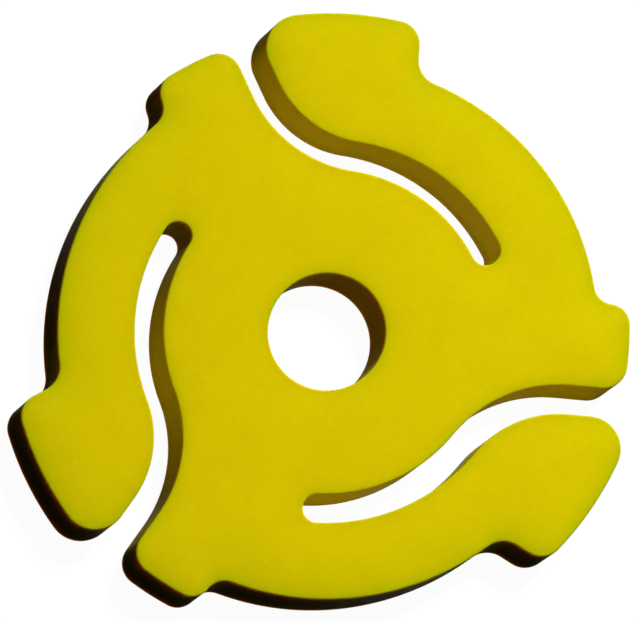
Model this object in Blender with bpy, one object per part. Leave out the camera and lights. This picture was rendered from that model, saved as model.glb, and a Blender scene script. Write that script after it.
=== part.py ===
"""Insert that fills the large centre hole of a record, so that the record runs on a thin spindle.

It is one flat moulded plate with the spindle's bore in its middle. Three S-shaped slots run in from the rim and part
three spring arms from the hub. At each slot's mouth a tab of the hub stands beside a tab of the arm: the hub's tabs
centre the record, and the arms' tabs reach further out and press on the wall of its hole. Between the tabs the rim
stands back. The walls are plain and square to the plate, and its edges are slightly rounded.

Lengths are in metres and angles in degrees. The bore's axis is +Z, and the origin lies on it at mid-thickness.
"""

import math
from typing import NamedTuple

import bmesh
import bpy
from mathutils import Vector

# What the insert fits
RECORD_HOLE_DIAMETER = 0.0382
SPINDLE_DIAMETER = 0.0072

# How it fits
HUB_TAB_CLEARANCE = 0.0001  # from a hub tab to the wall of the record's hole
ARM_TAB_PRESS = 0.001  # how far a free arm tab stands past that wall
RIM_RELIEF = 0.0021  # how far the rim between the tabs stands back from it
BORE_CLEARANCE = 0.0002  # on the spindle's diameter

# Plate
PLATE_THICKNESS = 0.0024
EDGE_RADIUS = 0.0001
ARM_COUNT = 3
FIRST_MOUTH_ANGLE = 105.9  # of the slot's middle line on the hub tabs' circle

# Slot, along its middle line: a straight mouth, a bend, and an arc round the bore
SLOT_WIDTH = 0.0018
MOUTH_LEAN = 8.8  # of the mouth from a ray of the plate
MOUTH_DEPTH = 0.0032  # its straight length inside the hub tabs' circle
SLOT_ARC_RADIUS = 0.0112
SLOT_REACH = 78.9  # round the bore, from the mouth to the middle of the closed end

# Tabs, each from one sharp corner to the other before these are rounded
HUB_TAB_SPAN = 15.9
HUB_TAB_TAPER = 14.9  # of the tab's side from a ray of the plate
ARM_TAB_SPAN = 30.7
ARM_TAB_TAPER = 14.0

# Rounds in plan
HUB_TIP_RADIUS = 0.0015  # hub tab, at the slot's mouth
HUB_HEEL_RADIUS = 0.0013  # hub tab, at its far side
HUB_ROOT_RADIUS = 0.0013  # hub tab into the rim
ARM_TIP_RADIUS = 0.0021  # arm tab, at the slot's mouth
ARM_HEEL_RADIUS = 0.0015  # arm tab, at its far side
ARM_ROOT_RADIUS = 0.0016  # arm tab into the rim
ROUND_SHARE = 0.65  # of a tab's height, the most that a round on its side may measure

# How finely round stretches are drawn
CHORD_ERROR = 0.000008
EDGE_STEPS = 2
WELD_DISTANCE = 0.000001
SHARP_ANGLE = 30.0

# Finish
PLASTIC_COLOUR = (0.66, 0.53, 0.002, 1.0)
PLASTIC_ROUGHNESS = 0.55

# Sizes that follow
HOLE_RADIUS = RECORD_HOLE_DIAMETER / 2.0
HUB_TAB_RADIUS = HOLE_RADIUS - HUB_TAB_CLEARANCE
ARM_TAB_RADIUS = HOLE_RADIUS + ARM_TAB_PRESS
RIM_RADIUS = HOLE_RADIUS - RIM_RELIEF
BORE_RADIUS = (SPINDLE_DIAMETER + BORE_CLEARANCE) / 2.0

AXIS = Vector((0.0, 0.0))
LEFT, RIGHT = 1, -1  # a turn to the left is counterclockwise


class Round(NamedTuple):
    """A round that blends a straight side into an arc of the rim."""

    centre: Vector
    on_side: Vector
    on_rim: Vector


def polar(radius, angle):
    """The point at a distance and an angle from the bore's axis."""
    turn = math.radians(angle)
    return Vector((radius * math.cos(turn), radius * math.sin(turn)))


def bearing(point):
    """The angle at which a point is seen from the bore's axis."""
    return math.degrees(math.atan2(point.y, point.x))


def run_out(start, heading, radius):
    """The point where a straight line from start, going outwards, meets a circle round the bore's axis."""
    along = polar(1.0, heading)
    run = start.dot(along)
    return start + along * (math.sqrt(run * run - start.length_squared + radius * radius) - run)


def blend(side, heading, plastic, rim_radius, radius):
    """The round between a straight side and an arc of the rim.

    The side passes through a point, heading outwards, with the plastic to its LEFT or RIGHT. A negative radius fills
    an inside corner.
    """
    inset = polar(radius, heading + 90.0 * plastic)
    centre = run_out(side + inset, heading, rim_radius - radius)
    return Round(centre, centre - inset, centre * (rim_radius / centre.length))


def within_tab(radius, tab_radius):
    """A round's radius, limited by the height of the tab."""
    return min(radius, ROUND_SHARE * (tab_radius - RIM_RADIUS))


def arc(centre, start, end, turn):
    """Points round centre from start to end, turning LEFT or RIGHT."""
    spoke = start - centre
    first = bearing(spoke)
    sweep = turn * ((turn * (bearing(end - centre) - first)) % 360.0)
    step = math.degrees(2.0 * math.acos(1.0 - CHORD_ERROR / spoke.length))
    count = max(1, math.ceil(abs(sweep) / step))
    return [centre + polar(spoke.length, first + sweep * i / count) for i in range(count + 1)]


class Slot:
    """The first S-shaped slot, from its mouth in the rim to its closed end beside the bore."""

    def __init__(self):
        self.heading = FIRST_MOUTH_ANGLE + MOUTH_LEAN
        self.end_angle = FIRST_MOUTH_ANGLE - SLOT_REACH
        # The bend touches the straight mouth at its inner end, and the arc round the bore from outside.
        touch = polar(HUB_TAB_RADIUS, FIRST_MOUTH_ANGLE) - polar(MOUTH_DEPTH, self.heading)
        across = polar(1.0, self.heading - 90.0)
        room = SLOT_ARC_RADIUS - touch.dot(across)
        self.bend_radius = (touch.length_squared - SLOT_ARC_RADIUS**2) / (2.0 * room)
        self.bend_centre = touch + across * self.bend_radius

    def wall(self, side):
        """Where the wall on the slot's LEFT or RIGHT, seen from inside, has its joints: mouth, bend and closed end."""
        offset = side * SLOT_WIDTH / 2.0
        mouth = self.bend_centre + polar(self.bend_radius + offset, self.heading + 90.0)
        arc_radius = SLOT_ARC_RADIUS - offset
        return mouth, polar(arc_radius, bearing(self.bend_centre)), polar(arc_radius, self.end_angle)


def sector_outline():
    """One arm's share of the outline, counterclockwise: the rim, the arm's tab, the slot and the hub's tab."""
    slot = Slot()
    closed_end = polar(SLOT_ARC_RADIUS, slot.end_angle)
    arm_mouth, arm_bend, arm_end = slot.wall(RIGHT)
    hub_mouth, hub_bend, hub_end = slot.wall(LEFT)

    arm_corner = bearing(run_out(arm_mouth, slot.heading, ARM_TAB_RADIUS)) - ARM_TAB_SPAN
    arm_side = polar(ARM_TAB_RADIUS, arm_corner), arm_corner + ARM_TAB_TAPER, LEFT
    arm_root = blend(*arm_side, RIM_RADIUS, -within_tab(ARM_ROOT_RADIUS, ARM_TAB_RADIUS))
    arm_heel = blend(*arm_side, ARM_TAB_RADIUS, within_tab(ARM_HEEL_RADIUS, ARM_TAB_RADIUS))
    arm_tip = blend(arm_mouth, slot.heading, RIGHT, ARM_TAB_RADIUS, ARM_TIP_RADIUS)

    hub_corner = bearing(run_out(hub_mouth, slot.heading, HUB_TAB_RADIUS)) + HUB_TAB_SPAN
    hub_side = polar(HUB_TAB_RADIUS, hub_corner), hub_corner - HUB_TAB_TAPER, RIGHT
    hub_tip = blend(hub_mouth, slot.heading, LEFT, HUB_TAB_RADIUS, HUB_TIP_RADIUS)
    hub_heel = blend(*hub_side, HUB_TAB_RADIUS, within_tab(HUB_HEEL_RADIUS, HUB_TAB_RADIUS))
    hub_root = blend(*hub_side, RIM_RADIUS, -within_tab(HUB_ROOT_RADIUS, HUB_TAB_RADIUS))
    rim_start = polar(RIM_RADIUS, bearing(hub_root.on_rim) - 360.0 / ARM_COUNT)

    return (
        arc(AXIS, rim_start, arm_root.on_rim, LEFT)
        + arc(arm_root.centre, arm_root.on_rim, arm_root.on_side, RIGHT)
        + arc(arm_heel.centre, arm_heel.on_side, arm_heel.on_rim, LEFT)
        + arc(AXIS, arm_heel.on_rim, arm_tip.on_rim, LEFT)
        + arc(arm_tip.centre, arm_tip.on_rim, arm_tip.on_side, LEFT)
        + arc(slot.bend_centre, arm_mouth, arm_bend, LEFT)
        + arc(AXIS, arm_bend, arm_end, RIGHT)
        + arc(closed_end, arm_end, hub_end, RIGHT)
        + arc(AXIS, hub_end, hub_bend, LEFT)
        + arc(slot.bend_centre, hub_bend, hub_mouth, RIGHT)
        + arc(hub_tip.centre, hub_tip.on_side, hub_tip.on_rim, LEFT)
        + arc(AXIS, hub_tip.on_rim, hub_heel.on_rim, LEFT)
        + arc(hub_heel.centre, hub_heel.on_rim, hub_heel.on_side, LEFT)
        + arc(hub_root.centre, hub_root.on_side, hub_root.on_rim, RIGHT)
    )


def plate_outline():
    """The sector's outline, repeated round the bore."""
    sector = [(point.length, bearing(point)) for point in sector_outline()]
    pitch = 360.0 / ARM_COUNT
    return [polar(radius, angle + pitch * i) for i in range(ARM_COUNT) for radius, angle in sector]


def bore_outline():
    """The bore, as a circle."""
    side = Vector((BORE_RADIUS, 0.0))
    return arc(AXIS, side, -side, LEFT) + arc(AXIS, -side, side, LEFT)


def add_loop(curve, points):
    """Adds points to a curve as one closed loop, without those that repeat the one before."""
    kept = [p for p, before in zip(points, points[-1:] + points[:-1]) if (p - before).length > WELD_DISTANCE]
    spline = curve.splines.new("POLY")
    spline.points.add(len(kept) - 1)
    for place, point in zip(spline.points, kept):
        place.co = (point.x, point.y, 0.0, 1.0)
    spline.use_cyclic_u = True


def plate_curve():
    """The flat outline and its bore as a filled curve, with its thickness and its rounded edges."""
    curve = bpy.data.curves.new("plate_outline", "CURVE")
    curve.dimensions = "2D"
    curve.fill_mode = "BOTH"
    curve.extrude = PLATE_THICKNESS / 2.0 - EDGE_RADIUS
    curve.bevel_depth = EDGE_RADIUS
    curve.bevel_resolution = EDGE_STEPS - 1
    curve.offset = -EDGE_RADIUS
    add_loop(curve, plate_outline())
    add_loop(curve, bore_outline())
    return curve


def plastic():
    """The plate's yellow plastic."""
    material = bpy.data.materials.new("yellow_plastic")
    material.use_nodes = True
    shader = material.node_tree.nodes["Principled BSDF"]
    shader.inputs["Base Color"].default_value = PLASTIC_COLOUR
    shader.inputs["Roughness"].default_value = PLASTIC_ROUGHNESS
    shader.inputs["Metallic"].default_value = 0.0
    material.diffuse_color = PLASTIC_COLOUR
    return material


def add_plate(collection):
    """The plate as one closed solid."""
    outline = bpy.data.objects.new("plate_outline", plate_curve())
    collection.objects.link(outline)
    scene_state = bpy.context.evaluated_depsgraph_get()
    mesh = bpy.data.meshes.new_from_object(outline.evaluated_get(scene_state))
    mesh.name = "adapter_plate"
    bpy.data.objects.remove(outline)

    shape = bmesh.new()
    shape.from_mesh(mesh)
    bmesh.ops.remove_doubles(shape, verts=shape.verts, dist=WELD_DISTANCE)
    bmesh.ops.recalc_face_normals(shape, faces=shape.faces)
    shape.to_mesh(mesh)
    shape.free()

    mesh.shade_smooth()
    mesh.set_sharp_from_angle(angle=math.radians(SHARP_ANGLE))
    mesh.materials.append(plastic())
    plate = bpy.data.objects.new("adapter_plate", mesh)
    collection.objects.link(plate)
    return plate


def main():
    """Clears the scene and models the insert."""
    for item in list(bpy.data.objects):
        bpy.data.objects.remove(item)
    insert = bpy.data.collections.new("record_spindle_adapter")
    bpy.context.scene.collection.children.link(insert)
    add_plate(insert)


main()
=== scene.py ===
"""Looks of the record insert: its moulded plate in yellow plastic, on a white floor in soft light.

Lengths are in metres and angles in degrees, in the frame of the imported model: the bore's axis is +Z, and the
plate's middle plane is z = 0.
"""

import logging
import math
from dataclasses import dataclass
from enum import Enum
from typing import Mapping, NamedTuple, Optional, Sequence, Union

import bmesh
import bpy
from mathutils import Matrix, Vector
from mathutils.bvhtree import BVHTree

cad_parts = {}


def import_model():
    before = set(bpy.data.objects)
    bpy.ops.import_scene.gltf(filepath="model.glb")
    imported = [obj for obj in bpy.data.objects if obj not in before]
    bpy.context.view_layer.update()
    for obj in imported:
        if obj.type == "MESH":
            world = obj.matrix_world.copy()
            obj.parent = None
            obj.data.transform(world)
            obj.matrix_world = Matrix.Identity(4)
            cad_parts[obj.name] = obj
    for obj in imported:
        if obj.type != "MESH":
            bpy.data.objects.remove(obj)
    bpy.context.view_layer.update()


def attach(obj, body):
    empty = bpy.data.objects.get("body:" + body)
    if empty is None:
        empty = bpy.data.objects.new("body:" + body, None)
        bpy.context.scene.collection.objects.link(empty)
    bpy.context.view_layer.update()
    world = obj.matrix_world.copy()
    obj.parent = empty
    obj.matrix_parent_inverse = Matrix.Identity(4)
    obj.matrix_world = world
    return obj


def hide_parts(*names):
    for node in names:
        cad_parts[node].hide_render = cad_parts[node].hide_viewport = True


log = logging.getLogger("record_insert")

FRAME_WIDTH = 640
AXIS = Vector((0.0, 0.0))
UP = (0.0, 0.0, 1.0)
QUARTER_TURN = 90.0
FULL_TURN = 360.0
MILLIMETRES = 1000.0
WHITE = (1.0, 1.0, 1.0)
NOISE_MEAN = 0.5

# Points as close as the first are one. A normal within the second of level or upright counts as that.
WELD = 1e-6
OFF_SQUARE = 1e-4

# The values that the plate's points keep for its finish.
FROM_EDGE = "from_edge"
FROM_RIM = "from_rim"
TILT = "tilt"

Number = Union[float, "Value"]
Colour = tuple[float, float, float]


class Side(Enum):
    """A side of something that is seen from the bore, or a turn to that side: left is counterclockwise."""

    LEFT = 1
    RIGHT = -1

    @property
    def other(self) -> "Side":
        """The opposite side."""
        return Side(-self.value)


def polar(radius: float, angle: float) -> Vector:
    """Finds the point at a distance and an angle from the bore's axis.

    Args:
        radius: Distance from the axis.
        angle: Angle from +X, counterclockwise.

    Returns:
        The point, in the plane of the plate.
    """
    turn = math.radians(angle)
    return Vector((radius * math.cos(turn), radius * math.sin(turn)))


def bearing(point: Vector) -> float:
    """Finds the angle at which a point is seen from the bore's axis.

    Args:
        point: A point in the plane of the plate.

    Returns:
        Its angle from +X, counterclockwise.
    """
    return math.degrees(math.atan2(point.y, point.x))


def run_out(start: Vector, heading: float, radius: float) -> Vector:
    """Follows a straight line outwards to a circle round the bore's axis.

    Args:
        start: A point on the line, inside the circle.
        heading: The line's direction.
        radius: The circle's radius.

    Returns:
        The point where the line meets the circle.
    """
    along = polar(1.0, heading)
    run = start.dot(along)
    return start + along * (math.sqrt(run * run - start.length_squared + radius * radius) - run)


class Round(NamedTuple):
    """A round that blends a straight side into a circle round the bore."""

    centre: Vector
    on_side: Vector
    on_circle: Vector


def blend(side: Vector, heading: float, plastic: Side, circle: float, radius: float) -> Round:
    """Fits a round between a straight side and a circle round the bore.

    Args:
        side: A point on the straight side.
        heading: The side's direction, outwards.
        plastic: Where the plastic lies, seen along the heading.
        circle: The circle's radius.
        radius: The round's radius, negative where it fills an inside corner.

    Returns:
        The round's centre and the two points where it touches.
    """
    inset = polar(radius, heading + QUARTER_TURN * plastic.value)
    centre = run_out(side + inset, heading, circle - radius)
    return Round(centre, centre - inset, centre * (circle / centre.length))


class Wall(NamedTuple):
    """The joints of one wall of the slot: the inner end of its mouth, of its bend and of its arc."""

    mouth: Vector
    bend: Vector
    end: Vector


@dataclass(frozen=True)
class Slot:
    """An S-shaped slot, along its middle line: a straight mouth, a bend, and an arc round the bore.

    The mouth's line crosses the mouth circle at the mouth's angle, leans from the radius there, and turns
    into the bend a depth further in. The closed end stands a reach back from that angle, clockwise.
    """

    width: float = 0.0018
    mouth_angle: float = 105.9
    mouth_lean: float = 8.8
    mouth_depth: float = 0.0032
    mouth_circle: float = 0.0190
    arc_radius: float = 0.0112
    reach: float = 78.9

    @property
    def heading(self) -> float:
        """The direction of the straight mouth, outwards."""
        return self.mouth_angle + self.mouth_lean

    @property
    def end_angle(self) -> float:
        """Where the closed end stands round the bore."""
        return self.mouth_angle - self.reach

    @property
    def bend(self) -> tuple[Vector, float]:
        """The centre and radius of the bend, which touches the mouth's line and the arc."""
        touch = polar(self.mouth_circle, self.mouth_angle) - polar(self.mouth_depth, self.heading)
        across = polar(1.0, self.heading - QUARTER_TURN)
        room = self.arc_radius - touch.dot(across)
        radius = (touch.length_squared - self.arc_radius**2) / (2.0 * room)
        return touch + across * radius, radius

    def wall(self, side: Side) -> Wall:
        """Finds the joints of one wall.

        Args:
            side: Which wall, seen from inside the slot towards its mouth.

        Returns:
            The wall's joints.
        """
        centre, radius = self.bend
        offset = side.value * self.width / 2.0
        arc_radius = self.arc_radius - offset
        mouth = centre + polar(radius + offset, self.heading + QUARTER_TURN)
        return Wall(mouth, polar(arc_radius, bearing(centre)), polar(arc_radius, self.end_angle))


class TabRounds(NamedTuple):
    """The rounds of a tab: into the rim, at its far corner, and at the slot's mouth."""

    root: Round
    heel: Round
    tip: Round


@dataclass(frozen=True)
class Tab:
    """A tab of the rim beside the slot's mouth.

    Its span is the angle between its two corners before they are rounded. Its taper is the angle by which
    its far flank leans from the radius.
    """

    side: Side
    radius: float
    span: float
    taper: float
    root_radius: float
    heel_radius: float
    tip_radius: float

    def rounds(self, slot: Slot, rim_radius: float) -> TabRounds:
        """Fits the tab's three rounds.

        Args:
            slot: The slot beside the tab.
            rim_radius: The radius of the rim between the tabs.

        Returns:
            The rounds, from the rim to the slot's mouth.
        """
        mouth = slot.wall(self.side).mouth
        corner = bearing(run_out(mouth, slot.heading, self.radius)) + self.side.value * self.span
        flank = polar(self.radius, corner), corner - self.side.value * self.taper, self.side.other
        return TabRounds(
            root=blend(*flank, rim_radius, -self.root_radius),
            heel=blend(*flank, self.radius, self.heel_radius),
            tip=blend(mouth, slot.heading, self.side, self.radius, self.tip_radius),
        )


class Pen:
    """Draws a chain of edges by moving one vertex along lines and arcs."""

    def __init__(self, shape: bmesh.types.BMesh, start: Vector, chord_error: float) -> None:
        """Sets the pen down.

        Args:
            shape: The mesh to draw in.
            start: The chain's first point.
            chord_error: How far a chord may stray from its arc.
        """
        self.shape = shape
        self.chord_error = chord_error
        self.tip = bmesh.ops.create_vert(shape, co=start.to_3d())["vert"][0]

    def line(self, end: Vector) -> None:
        """Draws a straight line.

        Args:
            end: Where the line ends.
        """
        self.tip = bmesh.ops.extrude_vert_indiv(self.shape, verts=[self.tip])["verts"][0]
        bmesh.ops.translate(self.shape, verts=[self.tip], vec=end.to_3d() - self.tip.co)

    def arc(self, centre: Vector, end: Vector, turn: Side) -> None:
        """Draws an arc.

        Args:
            centre: The arc's centre.
            end: Where the arc ends, or a point on the same ray.
            turn: Which way it turns.
        """
        spoke = self.tip.co.xy - centre
        sweep = turn.value * (turn.value * (bearing(end - centre) - bearing(spoke)) % FULL_TURN)
        step = math.degrees(2.0 * math.acos(1.0 - self.chord_error / spoke.length))
        made = bmesh.ops.spin(
            self.shape,
            geom=[self.tip],
            cent=centre.to_3d(),
            axis=UP,
            dvec=(0.0, 0.0, 0.0),
            angle=math.radians(sweep),
            steps=max(1, math.ceil(abs(sweep) / step)),
            use_merge=False,
            use_duplicate=False,
        )
        self.tip = next(item for item in made["geom_last"] if isinstance(item, bmesh.types.BMVert))


@dataclass(frozen=True)
class Slope:
    """How a face seems to slope down towards an edge: it is level at the edge itself and far from it."""

    steepness: float
    start: float = 0.0002
    reach: float = 0.0013

    def at(self, distance: float) -> float:
        """Finds the slope at a distance from the edge."""
        return self.steepness * (math.exp(-distance / self.reach) - math.exp(-distance / self.start))


@dataclass(frozen=True)
class MouldedPlate:
    """The insert: one plate with a bore, three slots, three hub tabs and three spring arms with tabs."""

    node: str = "adapter_plate"
    material_slot: str = "yellow_plastic"
    thickness: float = 0.0024
    bore_radius: float = 0.0037
    rim_radius: float = 0.0170
    arms: int = 3
    slot: Slot = Slot()
    hub_tab: Tab = Tab(
        side=Side.LEFT,
        radius=0.0190,
        span=15.9,
        taper=14.9,
        root_radius=0.0013,
        heel_radius=0.0013,
        tip_radius=0.0015,
    )
    arm_tab: Tab = Tab(
        side=Side.RIGHT,
        radius=0.0201,
        span=30.7,
        taper=14.0,
        root_radius=0.0016,
        heel_radius=0.0015,
        tip_radius=0.0021,
    )
    sharp_angle: float = 60.0
    edge_radius: float = 0.00009
    edge_segments: int = 4
    margins: tuple[float, ...] = (0.00005, 0.00018, 0.00025, 0.0003, 0.0003)
    face_grid: float = 0.001
    edge_slope: Slope = Slope(steepness=0.08)
    rim_slope: Slope = Slope(steepness=0.12)
    chord_error: float = 0.000002

    def draw_sector(self, shape: bmesh.types.BMesh) -> None:
        """Draws one arm's share of the plate as a closed outline, counterclockwise.

        Args:
            shape: The mesh to draw in.
        """
        slot, (bend_centre, _) = self.slot, self.slot.bend
        hub, arm = (tab.rounds(slot, self.rim_radius) for tab in (self.hub_tab, self.arm_tab))
        hub_wall, arm_wall = slot.wall(Side.LEFT), slot.wall(Side.RIGHT)
        last = bearing(hub.root.on_circle)
        first = last - FULL_TURN / self.arms

        pen = Pen(shape, polar(self.rim_radius, first), self.chord_error)
        pen.arc(AXIS, arm.root.on_circle, Side.LEFT)
        pen.arc(arm.root.centre, arm.root.on_side, Side.RIGHT)
        pen.line(arm.heel.on_side)
        pen.arc(arm.heel.centre, arm.heel.on_circle, Side.LEFT)
        pen.arc(AXIS, arm.tip.on_circle, Side.LEFT)
        pen.arc(arm.tip.centre, arm.tip.on_side, Side.LEFT)
        pen.line(arm_wall.mouth)
        pen.arc(bend_centre, arm_wall.bend, Side.LEFT)
        pen.arc(AXIS, arm_wall.end, Side.RIGHT)
        pen.arc(polar(slot.arc_radius, slot.end_angle), hub_wall.end, Side.RIGHT)
        pen.arc(AXIS, hub_wall.bend, Side.LEFT)
        pen.arc(bend_centre, hub_wall.mouth, Side.RIGHT)
        pen.line(hub.tip.on_side)
        pen.arc(hub.tip.centre, hub.tip.on_circle, Side.LEFT)
        pen.arc(AXIS, hub.heel.on_circle, Side.LEFT)
        pen.arc(hub.heel.centre, hub.heel.on_side, Side.LEFT)
        pen.line(hub.root.on_side)
        pen.arc(hub.root.centre, hub.root.on_circle, Side.RIGHT)

        # Back by way of the bore, so that the sector closes on itself.
        pen.line(polar(self.bore_radius, last))
        pen.arc(AXIS, polar(self.bore_radius, first), Side.RIGHT)
        pen.line(polar(self.rim_radius, first))

    def spread_sectors(self, shape: bmesh.types.BMesh) -> None:
        """Fills the sector's outline and repeats it round the bore.

        Args:
            shape: The mesh that holds the outline.
        """
        bmesh.ops.remove_doubles(shape, verts=shape.verts, dist=WELD)
        bmesh.ops.contextual_create(shape, geom=shape.edges[:])
        bmesh.ops.spin(
            shape,
            geom=shape.verts[:] + shape.edges[:] + shape.faces[:],
            cent=(0.0, 0.0, 0.0),
            axis=UP,
            dvec=(0.0, 0.0, 0.0),
            angle=math.tau * (self.arms - 1) / self.arms,
            steps=self.arms - 1,
            use_merge=False,
            use_duplicate=True,
        )
        bmesh.ops.remove_doubles(shape, verts=shape.verts, dist=WELD)

    def thicken(self, shape: bmesh.types.BMesh) -> None:
        """Gives the flat sheet the plate's thickness, about its middle plane.

        Args:
            shape: The mesh that holds the sheet.
        """
        made = bmesh.ops.extrude_face_region(shape, geom=shape.faces[:])
        upper = [item for item in made["geom"] if isinstance(item, bmesh.types.BMVert)]
        bmesh.ops.translate(shape, verts=upper, vec=(0.0, 0.0, self.thickness))
        bmesh.ops.translate(shape, verts=shape.verts, vec=(0.0, 0.0, -self.thickness / 2.0))
        bmesh.ops.recalc_face_normals(shape, faces=shape.faces)

    def round_edges(self, shape: bmesh.types.BMesh) -> None:
        """Rounds the edges.

        Args:
            shape: The mesh that holds the sharp-edged plate.
        """
        sharp = math.radians(self.sharp_angle)
        bmesh.ops.bevel(
            shape,
            geom=[edge for edge in shape.edges if edge.calc_face_angle() > sharp],
            offset=self.edge_radius,
            segments=self.edge_segments,
            profile=0.5,
            affect="EDGES",
            material=-1,
        )

    def divide(self, shape: bmesh.types.BMesh) -> None:
        """Cuts the faces finely enough to hold distances, and the walls close to their rounds, to look flat.

        Args:
            shape: The mesh that holds the plate with its rounded edges.
        """
        faces = [face for face in shape.faces if abs(face.normal.z) > 1.0 - OFF_SQUARE]
        walls = [face for face in shape.faces if abs(face.normal.z) < OFF_SQUARE]
        for margin in self.margins:
            bmesh.ops.inset_region(
                shape, faces=faces, thickness=margin, use_boundary=True, use_even_offset=True
            )
        reach = math.ceil(self.arm_tab.radius / self.face_grid)
        lines = [step * self.face_grid for step in range(-reach, reach + 1)]
        faces = self.cut(shape, faces, "X", lines)
        self.cut(shape, faces, "Y", lines)
        level = self.thickness / 2.0 - self.edge_radius - self.margins[0]
        self.cut(shape, walls, "Z", (level, -level))

    @staticmethod
    def cut(
        shape: bmesh.types.BMesh, faces: Sequence[bmesh.types.BMFace], axis: str, places: Sequence[float]
    ) -> list[bmesh.types.BMFace]:
        """Cuts some faces square to an axis.

        Args:
            shape: The mesh.
            faces: The faces to cut.
            axis: The axis, X, Y or Z.
            places: Where on the axis the cuts lie.

        Returns:
            The faces that they leave.
        """
        along = Vector([float(name == axis) for name in "XYZ"])
        parts = list({part for face in faces for part in (face, *face.edges, *face.verts)})
        for place in places:
            made = bmesh.ops.bisect_plane(
                shape, geom=parts, dist=WELD, plane_co=along * place, plane_no=along
            )
            parts = made["geom"]
        return [part for part in parts if isinstance(part, bmesh.types.BMFace)]

    @staticmethod
    def stand_walls(sheet: bmesh.types.BMesh, least_radius: float) -> BVHTree:
        """Stands walls on a sheet's outline, from which distances can be measured.

        Args:
            sheet: The flat sheet. It is left as it was.
            least_radius: Only the outline outside this circle gets walls.

        Returns:
            The walls.
        """
        walls = sheet.copy()
        bmesh.ops.delete(walls, geom=walls.faces[:], context="FACES_KEEP_BOUNDARY")
        inside = [vert for vert in walls.verts if vert.co.length < least_radius]
        bmesh.ops.delete(walls, geom=inside, context="VERTS")
        made = bmesh.ops.extrude_edge_only(walls, edges=walls.edges[:])["geom"]
        upper = [item for item in made if isinstance(item, bmesh.types.BMVert)]
        bmesh.ops.translate(walls, verts=upper, vec=UP)
        tree = BVHTree.FromBMesh(walls)
        walls.free()
        return tree

    def note_edges(self, shape: bmesh.types.BMesh, outline: BVHTree, rim: BVHTree) -> None:
        """Notes each point's distance from the edges, in millimetres, and its tilt towards them.

        Args:
            shape: The mesh of the whole plate.
            outline: Walls on every edge.
            rim: Walls on the edges of the rim and its tabs.
        """
        from_edge, from_rim = (shape.verts.layers.float.new(name) for name in (FROM_EDGE, FROM_RIM))
        tilt = shape.verts.layers.float_vector.new(TILT)
        for layer, walls, slope in ((from_edge, outline, self.edge_slope), (from_rim, rim, self.rim_slope)):
            for vert in shape.verts:
                place = vert.co.xy.to_3d()
                nearest, _, _, distance = walls.find_nearest(place)
                vert[layer] = distance * MILLIMETRES
                vert[tilt] += (nearest - place).normalized() * slope.at(distance)

    def build(self) -> bpy.types.Object:
        """Models the plate.

        Returns:
            The plate's object.
        """
        shape = bmesh.new()
        self.draw_sector(shape)
        self.spread_sectors(shape)
        outline = self.stand_walls(shape, 0.0)
        # The rim's own chords pass a little inside its circle.
        rim = self.stand_walls(shape, self.rim_radius - 2.0 * self.chord_error)
        self.thicken(shape)
        self.round_edges(shape)
        self.divide(shape)
        self.note_edges(shape, outline, rim)
        for face in shape.faces:
            face.smooth = True
        mesh = bpy.data.meshes.new("moulded_plate")
        shape.to_mesh(mesh)
        shape.free()
        plate = bpy.data.objects.new("moulded_plate", mesh)
        bpy.context.scene.collection.objects.link(plate)
        return plate

    def fit(self, finish: "MouldedPlastic") -> bpy.types.Object:
        """Models and dresses the plate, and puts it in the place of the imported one.

        Args:
            finish: The plate's finish.

        Returns:
            The plate's object.
        """
        plate = self.build()
        plate.data.materials.append(finish.material())
        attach(plate, "root")
        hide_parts(self.node)
        return plate


class Value:
    """A number that changes over a surface: a node's output, with Python's arithmetic."""

    def __init__(self, graph: "Graph", socket: bpy.types.NodeSocket) -> None:
        """Wraps a socket.

        Args:
            graph: The graph that the socket belongs to.
            socket: The output socket.
        """
        self.graph = graph
        self.socket = socket

    def _maths(self, operation: str, *numbers: Number) -> "Value":
        """Adds a Math node.

        Args:
            operation: The node's operation.
            numbers: Its operands, in order.

        Returns:
            The node's result.
        """
        return self.graph.node("ShaderNodeMath", {"operation": operation}, dict(enumerate(numbers)))

    def __add__(self, other: Number) -> "Value":
        """Adds."""
        return self._maths("ADD", self, other)

    def __sub__(self, other: Number) -> "Value":
        """Subtracts."""
        return self._maths("SUBTRACT", self, other)

    def __mul__(self, other: Number) -> "Value":
        """Multiplies."""
        return self._maths("MULTIPLY", self, other)

    def __radd__(self, other: float) -> "Value":
        """Adds to a plain number."""
        return self._maths("ADD", other, self)

    def __rsub__(self, other: float) -> "Value":
        """Subtracts from a plain number."""
        return self._maths("SUBTRACT", other, self)

    def __rmul__(self, other: float) -> "Value":
        """Multiplies a plain number."""
        return self._maths("MULTIPLY", other, self)

    def __abs__(self) -> "Value":
        """Drops the sign."""
        return self._maths("ABSOLUTE", self)

    def at_least(self, other: Number) -> "Value":
        """Takes the larger of two numbers."""
        return self._maths("MAXIMUM", self, other)

    def fade(self, reach: float) -> "Value":
        """Falls from 1 at zero, to 1/e at the reach."""
        return self._maths("EXPONENT", self * (-1.0 / reach))

    def step(self, low: float, high: float) -> "Value":
        """Turns a range into a smooth step.

        Args:
            low: Where the step leaves 0.
            high: Where it reaches 1. Below low, the step falls.

        Returns:
            A number from 0 to 1.
        """
        settings = {"interpolation_type": "SMOOTHSTEP", "clamp": True}
        return self.graph.node("ShaderNodeMapRange", settings, {0: self, 1: low, 2: high, 3: 0.0, 4: 1.0})


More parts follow.
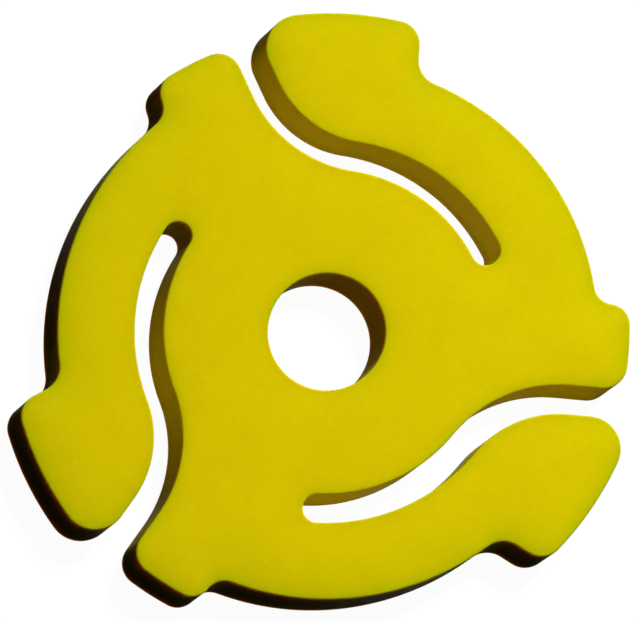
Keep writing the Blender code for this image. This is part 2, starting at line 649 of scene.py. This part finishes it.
class Graph:
    """The nodes of one material or world."""

    def __init__(self, tree: bpy.types.NodeTree) -> None:
        """Clears the tree.

        Args:
            tree: The node tree to fill.
        """
        self.tree = tree
        tree.nodes.clear()

    def node(
        self,
        kind: str,
        settings: Optional[Mapping[str, object]] = None,
        sockets: Optional[Mapping[Union[int, str], object]] = None,
        output: Union[int, str] = 0,
    ) -> Value:
        """Adds a node.

        Args:
            kind: The node's type.
            settings: The node's own properties, which are set first.
            sockets: The values or links of its input sockets, by name or place.
            output: The output socket to return, by name or place.

        Returns:
            The output socket, or the node's own empty one where it has none.
        """
        made = self.tree.nodes.new(kind)
        for name, setting in (settings or {}).items():
            setattr(made, name, setting)
        for name, value in (sockets or {}).items():
            if isinstance(value, Value):
                self.tree.links.new(value.socket, made.inputs[name])
            else:
                made.inputs[name].default_value = value
        return Value(self, made.outputs[output] if made.outputs else None)

    def colour(self, share: Number, first: object, second: object, blend_type: str = "MIX") -> Value:
        """Mixes two colours.

        Args:
            share: How much of the second colour.
            first: A colour, or the output that holds one.
            second: A colour, or the output that holds one.
            blend_type: How they mix.

        Returns:
            The mixed colour.
        """
        first, second = (c if isinstance(c, Value) else (*c, 1.0) for c in (first, second))
        settings = {"data_type": "RGBA", "blend_type": blend_type}
        return self.node("ShaderNodeMix", settings, {0: share, 6: first, 7: second}, 2)

    def noise(self, place: Value, size: float, detail: float = 2.0) -> Value:
        """Adds a noise.

        Args:
            place: The point on the piece.
            size: How far apart its lumps lie.
            detail: How many finer noises it adds.

        Returns:
            A number near one half.
        """
        sockets = {"Vector": place, "Scale": 1.0 / size, "Detail": detail}
        return self.node("ShaderNodeTexNoise", sockets=sockets)


@dataclass(frozen=True)
class MouldedPlastic:
    """Yellow plastic with the dull skin of its mould. Its lengths are in millimetres.

    It is cloudy at a millimetre and grained at a tenth, with a few pale specks. Shade is painted into its
    colour: darker and greener near its edges and rim, and darker on its walls, most in the bore. Its faces
    seem to slope down to its edges. Light goes about a millimetre into it, red the farthest, so that the
    unlit walls turn brown below a lit edge.
    """

    name: str = "moulded_yellow_plastic"
    colour: Colour = (0.69, 0.556, 0.0004)
    shade: Colour = (0.65, 0.526, 0.0004)
    shade_range: tuple[float, float] = (0.3, 0.7)
    cloud_size: float = 2.2
    cloud_detail: float = 3.0
    mottle_size: float = 0.38
    grain_size: float = 0.11
    face_range: tuple[float, float] = (0.05, 0.45)
    # Painted shade: the faces darker and greener close to every edge, and over a wider band inside the rim.
    painted_edge_shade: Colour = (0.73, 0.85, 1.0)
    edge_shade_reach: float = 0.33
    painted_rim_shade: Colour = (0.885, 0.98, 1.0)
    rim_shade_reach: float = 1.5
    # Painted shade: the walls a little darker and browner than the faces.
    painted_wall_shade: Colour = (0.98, 0.96, 1.0)
    # Painted shade: the bore's walls darker and redder, where the hollow gets little light.
    painted_bore_shade: Colour = (0.97, 0.84, 1.0)
    bore_shade_range: tuple[float, float] = (4.5, 4.0)
    speck_tint: Colour = (1.1, 1.12, 1.5)
    speck_size: float = 0.13
    speck_spacing: float = 2.5
    roughness: float = 0.56
    roughness_range: float = 0.12
    specular: float = 0.008
    specular_tint: Colour = (1.0, 0.95, 0.05)
    depth: float = 0.9
    depth_by_colour: Colour = (1.0, 0.5, 0.1)
    grain_height: float = 0.002
    mottle_height: float = 0.003

    def paint(self, graph: Graph, place: Value, normal: Value, mottle: Value) -> Value:
        """Colours the plastic: clouds, painted shade at its edges, walls and bore, and pale specks.

        Args:
            graph: The material's nodes.
            place: The point on the piece, in millimetres.
            normal: The piece's own normal.
            mottle: The noise between the clouds and the grain.

        Returns:
            The colour.
        """
        face = abs(graph.node("ShaderNodeSeparateXYZ", sockets={0: normal}, output=2)).step(*self.face_range)
        radius = graph.node("ShaderNodeVectorMath", {"operation": "LENGTH"}, {0: place}, "Value")
        from_edge, from_rim = (
            graph.node("ShaderNodeAttribute", {"attribute_name": name}, output="Fac")
            for name in (FROM_EDGE, FROM_RIM)
        )
        sockets = {"Vector": place, "Scale": 1.0 / self.speck_spacing}
        specks = graph.node("ShaderNodeTexVoronoi", sockets=sockets, output="Distance") * self.speck_spacing
        clouds = graph.noise(place, self.cloud_size, self.cloud_detail)
        shade = ((clouds + mottle) * 0.5).step(*self.shade_range)
        colour = graph.colour(shade, self.colour, self.shade)
        # The edge, rim, wall and bore tints are painted shade; the pale specks are the plastic's own.
        for share, tint in (
            (from_edge.fade(self.edge_shade_reach) * face, self.painted_edge_shade),
            (from_rim.fade(self.rim_shade_reach) * face, self.painted_rim_shade),
            (1.0 - face, self.painted_wall_shade),
            ((1.0 - face) * radius.step(*self.bore_shade_range), self.painted_bore_shade),
            (specks.step(self.speck_size, self.speck_size / 2.0), self.speck_tint),
        ):
            colour = graph.colour(share, colour, tint, "MULTIPLY")
        return colour

    def relief(self, graph: Graph, place: Value, normal: Value, mottle: Value) -> Value:
        """Tilts the normals towards the edges, and adds the fine lumps of the skin.

        Args:
            graph: The material's nodes.
            place: The point on the piece, in millimetres.
            normal: The piece's own normal.
            mottle: The noise between the clouds and the grain.

        Returns:
            The normal, in the world's directions.
        """
        tilt = graph.node("ShaderNodeAttribute", {"attribute_name": TILT}, output="Vector")
        tilted = graph.node("ShaderNodeVectorMath", {"operation": "ADD"}, {0: normal, 1: tilt})
        settings = {"vector_type": "NORMAL", "convert_from": "OBJECT", "convert_to": "WORLD"}
        tilted = graph.node("ShaderNodeVectorTransform", settings, {0: tilted})
        skin = graph.noise(place, self.grain_size) * self.grain_height + mottle * self.mottle_height
        sockets = {"Strength": 1.0, "Distance": 1.0 / MILLIMETRES, "Height": skin, "Normal": tilted}
        return graph.node("ShaderNodeBump", sockets=sockets)

    def material(self) -> bpy.types.Material:
        """Makes the material.

        Returns:
            The material.
        """
        material = bpy.data.materials.new(self.name)
        material.use_nodes = True
        graph = Graph(material.node_tree)
        place = graph.node("ShaderNodeTexCoord", output="Object")
        place = graph.node("ShaderNodeVectorMath", {"operation": "SCALE"}, {0: place, "Scale": MILLIMETRES})
        normal = graph.node("ShaderNodeTexCoord", output="Normal")
        mottle = graph.noise(place, self.mottle_size)
        surface = graph.node(
            "ShaderNodeBsdfPrincipled",
            {"subsurface_method": "RANDOM_WALK"},
            {
                "Base Color": self.paint(graph, place, normal, mottle),
                "Roughness": self.roughness + (mottle - NOISE_MEAN) * self.roughness_range,
                "Specular IOR Level": self.specular,
                "Specular Tint": (*self.specular_tint, 1.0),
                "Subsurface Weight": 1.0,
                "Subsurface Radius": self.depth_by_colour,
                "Subsurface Scale": self.depth / MILLIMETRES,
                "Normal": self.relief(graph, place, normal, mottle),
            },
        )
        graph.node("ShaderNodeOutputMaterial", sockets={"Surface": surface})
        return material


@dataclass(frozen=True)
class Floor:
    """A plain white floor that keeps the piece's shadow.

    It is clear from below, so that the underside can be seen.
    """

    radius: float = 2.0
    sides: int = 96
    level: float = -0.00122
    glow: float = 0.965
    shadow_share: float = 0.06
    dark: Colour = (0.006, 0.006, 0.006)

    def material(self) -> bpy.types.Material:
        """Makes the floor's material.

        Returns:
            The material.
        """
        material = bpy.data.materials.new("white_floor")
        material.use_nodes = True
        graph = Graph(material.node_tree)
        share = (self.shadow_share,) * 3
        glow = graph.node("ShaderNodeEmission", sockets={"Color": (*WHITE, 1.0), "Strength": self.glow})
        caught = graph.node("ShaderNodeBsdfDiffuse", sockets={"Color": (*share, 1.0)})
        bright = graph.node("ShaderNodeAddShader", sockets={0: glow, 1: caught})
        dark = graph.node("ShaderNodeBsdfDiffuse", sockets={"Color": (*self.dark, 1.0)})
        front = graph.node("ShaderNodeMixShader", sockets={0: seen(graph), 1: dark, 2: bright})
        below = graph.node("ShaderNodeNewGeometry", output="Backfacing")
        below = below.at_least(graph.node("ShaderNodeLightPath", output="Is Shadow Ray"))
        clear = graph.node("ShaderNodeBsdfTransparent")
        surface = graph.node("ShaderNodeMixShader", sockets={0: below, 1: front, 2: clear})
        graph.node("ShaderNodeOutputMaterial", sockets={"Surface": surface})
        return material

    def lay(self) -> bpy.types.Object:
        """Lays the floor under the plate.

        Returns:
            The floor's object.
        """
        shape = bmesh.new()
        bmesh.ops.create_circle(shape, cap_ends=True, segments=self.sides, radius=self.radius)
        bmesh.ops.translate(shape, verts=shape.verts, vec=(0.0, 0.0, self.level))
        if shape.faces[:][0].normal.z < 0.0:
            bmesh.ops.reverse_faces(shape, faces=shape.faces)
        mesh = bpy.data.meshes.new("floor")
        shape.to_mesh(mesh)
        shape.free()
        mesh.materials.append(self.material())
        floor = bpy.data.objects.new("floor", mesh)
        bpy.context.scene.collection.objects.link(floor)
        return floor


def seen(graph: Graph) -> Value:
    """Tells the rays that show a background: straight ones, mirrored ones and those through glass.

    Args:
        graph: The graph that asks.

    Returns:
        1 for such a ray, or else 0.
    """
    straight, mirrored, passed = (
        graph.node("ShaderNodeLightPath", output=name)
        for name in ("Is Camera Ray", "Is Glossy Ray", "Is Transmission Ray")
    )
    return straight.at_least(mirrored).at_least(passed)


@dataclass(frozen=True)
class Surroundings:
    """White all round to the eye, and nearly dark to the piece, so that the lamps alone light it."""

    light: Colour = (0.004, 0.007, 0.003)

    def set_up(self) -> bpy.types.World:
        """Makes the world and gives it to the scene.

        Returns:
            The world.
        """
        world = bpy.data.worlds.new("surroundings")
        world.use_nodes = True
        graph = Graph(world.node_tree)
        dim = graph.node("ShaderNodeBackground", sockets={"Color": (*self.light, 1.0), "Strength": 1.0})
        white = graph.node("ShaderNodeBackground", sockets={"Color": (*WHITE, 1.0), "Strength": 1.0})
        surface = graph.node("ShaderNodeMixShader", sockets={0: seen(graph), 1: dim, 2: white})
        graph.node("ShaderNodeOutputWorld", sockets={"Surface": surface})
        bpy.context.scene.world = world
        return world


@dataclass(frozen=True)
class SoftLamp:
    """A square soft lamp, with its place as seen from the bore.

    Its beam may aim past the bore, so that its light fades across the plate.
    """

    name: str
    azimuth: float
    elevation: float
    distance: float
    size: float
    level: float
    colour: Colour = WHITE
    aim: tuple[float, float] = (0.0, 0.0)
    spread: float = 180.0

    def share(self, tilt: float) -> float:
        """Finds how strongly the lamp shines aside, against a lamp of full spread that aims there.

        Args:
            tilt: The angle from the beam's middle, in radians.

        Returns:
            The share.
        """
        half = math.radians(self.spread) / 2.0
        return math.cos(tilt) * (1.0 - math.tan(tilt) / math.tan(half)) / (1.0 - half / math.tan(half))

    def hang(self) -> bpy.types.Object:
        """Hangs the lamp. Its power follows from the level that it gives on the plate's face.

        Returns:
            The lamp's object.
        """
        slope = math.radians(self.elevation)
        towards = polar(math.cos(slope), self.azimuth).to_3d() + Vector((0.0, 0.0, math.sin(slope)))
        back = (towards * self.distance - Vector((*self.aim, 0.0))).normalized()
        lit = abs(math.sin(slope)) * self.share(towards.angle(back))
        data = bpy.data.lights.new(self.name, "AREA")
        data.shape = "SQUARE"
        data.size = self.size
        data.spread = math.radians(self.spread)
        data.color = self.colour
        data.energy = self.level * (math.pi * self.distance) ** 2 / lit
        lamp = bpy.data.objects.new(self.name, data)
        lamp.location = towards * self.distance
        lamp.rotation_mode = "QUATERNION"
        lamp.rotation_quaternion = back.to_track_quat("Z", "Y")
        lamp.visible_camera = False
        bpy.context.scene.collection.objects.link(lamp)
        return lamp


@dataclass(frozen=True)
class SlantedCamera:
    """A camera that looks down a slanted line while its picture plane stays nearly level with the plate.

    So it sees the face undistorted and the lower left walls beside it, as a camera with a shifted lens does.
    The picture's width and height lean down a little, so that the right of the plate comes out larger than
    its left.
    """

    slant: tuple[float, float] = (-0.4279, -0.349)
    rightwards: tuple[float, float, float] = (1.0, 0.0308, -0.0959)
    upwards: tuple[float, float, float] = (0.0411, 1.0, -0.1001)
    distance: float = 0.5
    pixels_per_metre: float = 15897.0
    target: tuple[float, float] = (0.000065, 0.001757)
    face_height: float = 0.0012
    sensor: float = 36.0
    clip: tuple[float, float] = (0.01, 10.0)

    def set_up(self) -> bpy.types.Object:
        """Makes the camera and gives it to the scene.

        Returns:
            The camera's object.
        """
        line = Vector((*self.slant, 1.0))
        across = Vector(self.rightwards).normalized()
        upwards = Vector(self.upwards).normalized()
        width = FRAME_WIDTH / self.pixels_per_metre
        reach = self.distance - self.face_height
        data = bpy.data.cameras.new("camera")
        data.sensor_width = self.sensor
        data.lens = self.sensor * reach * line.length * (across.xy - line.xy * across.z).length / width
        data.clip_start, data.clip_end = self.clip

        rig = bpy.data.objects.new("camera_rig", None)
        camera = bpy.data.objects.new("camera", data)
        for item in (rig, camera):
            bpy.context.scene.collection.objects.link(item)
        slanted = Matrix((across, upwards, line)).transposed()
        camera.parent = rig
        camera.matrix_parent_inverse = slanted.to_4x4()
        camera.location = slanted.inverted() @ (Vector((*self.target, 0.0)) + line * self.distance)
        bpy.context.scene.camera = camera
        return camera


@dataclass(frozen=True)
class Studio:
    """Floor, surroundings, lamps and camera."""

    floor: Floor = Floor()
    surroundings: Surroundings = Surroundings()
    lamps: tuple[SoftLamp, ...] = (
        SoftLamp(
            name="main_lamp",
            azimuth=58.0,
            elevation=50.5,
            distance=0.35,
            size=0.12,
            level=1.08,
            aim=(0.03, -0.26),
            spread=120.0,
        ),
        SoftLamp(
            name="lamp_below",
            azimuth=0.0,
            elevation=-90.0,
            distance=0.35,
            size=0.01,
            level=0.25,
            colour=(1.0, 0.93, 0.6),
        ),
    )
    camera: SlantedCamera = SlantedCamera()

    def set_up(self) -> None:
        """Sets the studio up round the piece."""
        bpy.context.scene.view_settings.view_transform = "Standard"
        self.surroundings.set_up()
        self.floor.lay()
        for lamp in self.lamps:
            log.info("%s: %.2f W", lamp.name, lamp.hang().data.energy)
        self.camera.set_up()


def main() -> None:
    """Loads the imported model, dresses it, and sets up the studio."""
    logging.basicConfig(level=logging.INFO, format="%(name)s: %(message)s")
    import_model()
    plate = MouldedPlate().fit(MouldedPlastic())
    log.info("%s: %d faces", plate.name, len(plate.data.polygons))
    Studio().set_up()


if __name__ == "__main__":
    main()
